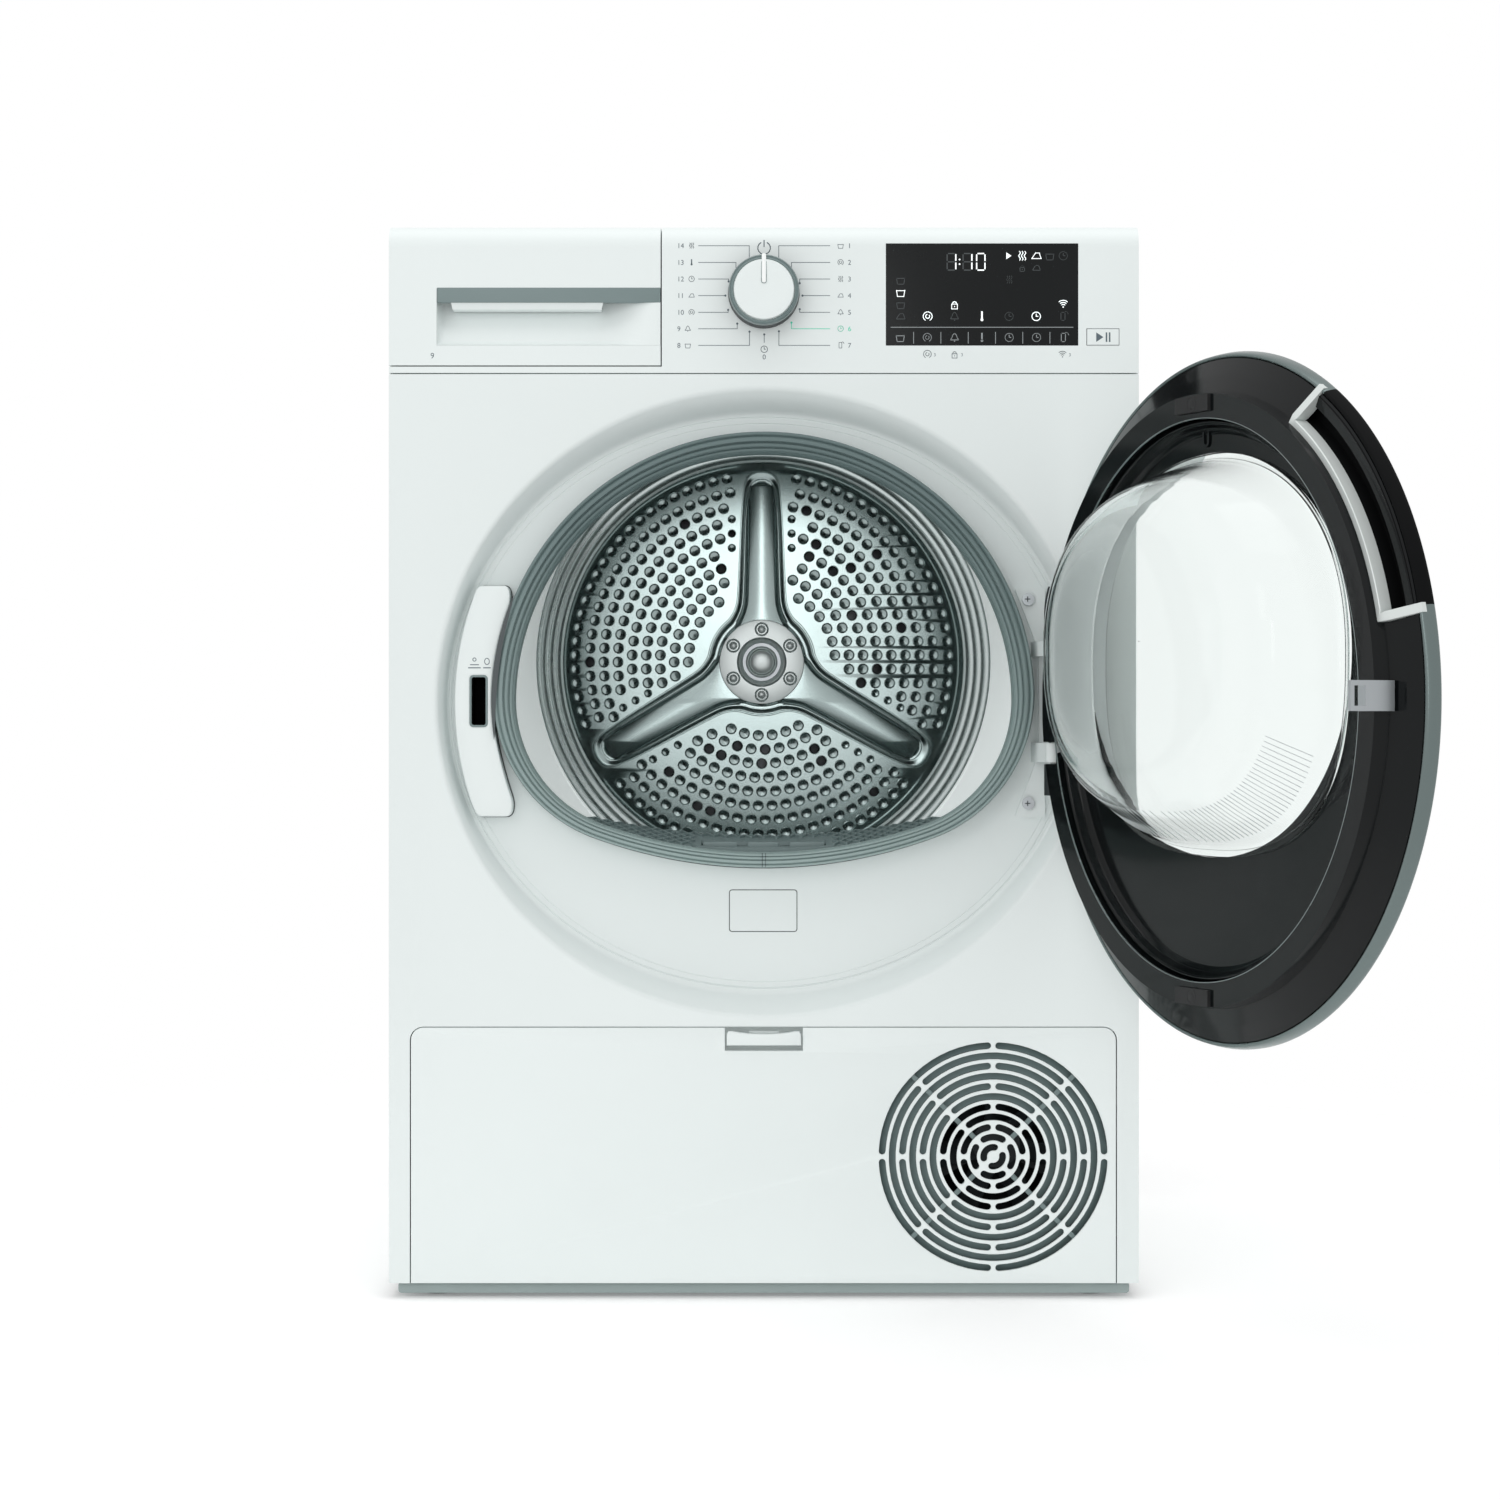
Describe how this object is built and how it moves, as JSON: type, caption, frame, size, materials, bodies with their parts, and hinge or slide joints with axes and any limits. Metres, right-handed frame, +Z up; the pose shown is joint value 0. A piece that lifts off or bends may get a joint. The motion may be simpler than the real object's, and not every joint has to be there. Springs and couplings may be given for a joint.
{
  "type": "clothes dryer",
  "caption": "Free-standing heat-pump clothes dryer with a round glazed door standing open, a control fascia, a water-tank drawer and a grilled service flap.",
  "frame": {"origin": "on the floor, at the centre of the cabinet's width and depth", "axes": "+Z up, the front with the door faces -Y, +X to the viewer's right"},
  "size_m": [0.7432, 1.0196, 0.855],
  "materials": {
    "white_enamel": "satin",
    "galvanised": "satin",
    "white_plastic": "satin",
    "black_gloss": "polished",
    "dark_plastic": "matte",
    "silver_plastic": "satin",
    "grey_rubber": "matte",
    "grey_plastic": "matte",
    "drum_steel": "polished",
    "clear_glass": "polished",
    "black_glass": "polished",
    "board_green": "matte",
    "black_rubber": "matte",
    "cast_black": "satin",
    "aluminium_fins": "satin",
    "copper": "satin",
    "tank_plastic": "satin",
    "steel": "satin",
    "bronze": "satin"
  },
  "bodies": {
    "cabinet": {"front_panel": "white_enamel", "left_side_panel": "white_enamel", "right_side_panel": "white_enamel", "rear_panel": "galvanised", "rear_duct_cover": "galvanised", "worktop": "white_plastic", "base_tray": "grey_plastic", "levelling_feet": "dark_plastic", "control_fascia": "white_plastic", "display_window": "black_gloss", "control_board": "board_green", "tank_guide": "white_plastic", "opening_gasket": "grey_rubber", "front_bulkhead": "white_plastic", "sill_grille": "grey_plastic", "latch_cover": "white_plastic", "door_lock": "dark_plastic", "hinge_bracket": "white_enamel", "rear_bulkhead": "galvanised", "drum_bearing": "bronze", "drum_belt": "black_rubber", "motor_housing": "steel", "fan_scroll": "dark_plastic", "idler_arm": "steel", "compressor": "cast_black", "heat_exchangers": "aluminium_fins", "refrigerant_pipes": "copper", "base_duct": "grey_plastic", "evaporator_hatch": "grey_plastic", "cooling_fan_frame": "dark_plastic", "condensate_pump": "dark_plastic", "cable_gland": "dark_plastic", "cabinet_screws": "steel"},
    "door": {"door_rim": "silver_plastic", "door_outer_glass": "clear_glass", "door_inner_frame": "black_gloss", "door_bowl": "clear_glass", "door_hook": "steel", "door_bumpers": "black_rubber", "door_hinge_housing": "dark_plastic"},
    "drum": {"drum_shell": "drum_steel", "drum_front_ring": "drum_steel", "drum_back": "drum_steel", "drum_lifters": "white_plastic", "drum_axle": "steel"},
    "motor": {"motor_rotor": "steel", "process_fan": "dark_plastic"},
    "idler": {"idler_pulley": "dark_plastic"},
    "roller_left": {"drum_roller_left": "dark_plastic"},
    "roller_right": {"drum_roller_right": "dark_plastic"},
    "cooling_fan": {"cooling_fan_rotor": "dark_plastic"},
    "tank_drawer": {"drawer_front": "white_plastic", "water_tank": "tank_plastic"},
    "knob": {"programme_knob": "white_plastic"},
    "start_key": {"start_key": "white_plastic"},
    "flap": {"service_flap": "white_plastic"},
    "flap_latch": {"flap_latch": "white_plastic"},
    "filter": {"lint_filter": "grey_plastic"},
    "cover_lock_left": {"cover_lock_left": "white_plastic"},
    "cover_lock_right": {"cover_lock_right": "white_plastic"}
  },
  "joints": [
    {"name": "door_hinge", "type": "hinge", "parent": "cabinet", "child": "door", "pos_m": [0.231, -0.2985, 0.4746], "axis": [0, 0, 1], "range_deg": [-114.5, 0]},
    {"name": "drum_spin", "type": "hinge", "parent": "cabinet", "child": "drum", "pos_m": [0, -0.184, 0.508], "axis": [0, 0.9998, 0.0209], "continuous": true},
    {"name": "motor_spin", "type": "hinge", "parent": "cabinet", "child": "motor", "pos_m": [0.095, 0.12421, 0.11937], "axis": [0, 0.9998, 0.0209], "continuous": true},
    {"name": "idler_spin", "type": "hinge", "parent": "cabinet", "child": "idler", "pos_m": [0.02, 0.06749, 0.15319], "axis": [0, 0.9998, 0.0209], "continuous": true},
    {"name": "roller_left_spin", "type": "hinge", "parent": "cabinet", "child": "roller_left", "pos_m": [-0.15037, -0.14208, 0.22601], "axis": [0, 0.9998, 0.0209], "continuous": true},
    {"name": "roller_right_spin", "type": "hinge", "parent": "cabinet", "child": "roller_right", "pos_m": [0.15037, -0.14208, 0.22601], "axis": [0, 0.9998, 0.0209], "continuous": true},
    {"name": "cooling_fan_spin", "type": "hinge", "parent": "cabinet", "child": "cooling_fan", "pos_m": [0.187, -0.25, 0.12], "axis": [0, 1, 0], "continuous": true},
    {"name": "tank_drawer_slide", "type": "slide", "parent": "cabinet", "child": "tank_drawer", "axis": [0, -1, 0], "range_m": [0, 0.4]},
    {"name": "knob_turn", "type": "hinge", "parent": "cabinet", "child": "knob", "pos_m": [0, -0.284, 0.8005], "axis": [0, 1, 0], "continuous": true},
    {"name": "start_key_press", "type": "slide", "parent": "cabinet", "child": "start_key", "axis": [0, 1, 0], "range_m": [0, 0.0012], "stiffness_N_per_m": 900},
    {"name": "flap_hinge", "type": "hinge", "parent": "cabinet", "child": "flap", "pos_m": [0, -0.279, 0.0174], "axis": [1, 0, 0], "range_deg": [0, 90]},
    {"name": "flap_latch_press", "type": "slide", "parent": "flap", "child": "flap_latch", "axis": [0, 0, -1], "range_m": [0, 0.004], "stiffness_N_per_m": 900, "springref_m": -0.001},
    {"name": "filter_lift", "type": "slide", "parent": "cabinet", "child": "filter", "axis": [0, 0, 1], "range_m": [0, 0.14]},
    {"name": "cover_lock_left_turn", "type": "hinge", "parent": "cabinet", "child": "cover_lock_left", "pos_m": [-0.2345, -0.25, 0.11], "axis": [0, 1, 0], "range_deg": [0, 90]},
    {"name": "cover_lock_right_turn", "type": "hinge", "parent": "cabinet", "child": "cover_lock_right", "pos_m": [0.0245, -0.25, 0.11], "axis": [0, 1, 0], "range_deg": [-90, 0]}
  ],
  "couplings": [
    {"joint": "motor_spin", "follows": "drum_spin", "ratio": 23.75},
    {"joint": "idler_spin", "follows": "drum_spin", "ratio": 12.955},
    {"joint": "roller_left_spin", "follows": "drum_spin", "ratio": -8.1429},
    {"joint": "roller_right_spin", "follows": "drum_spin", "ratio": -8.1429}
  ]
}
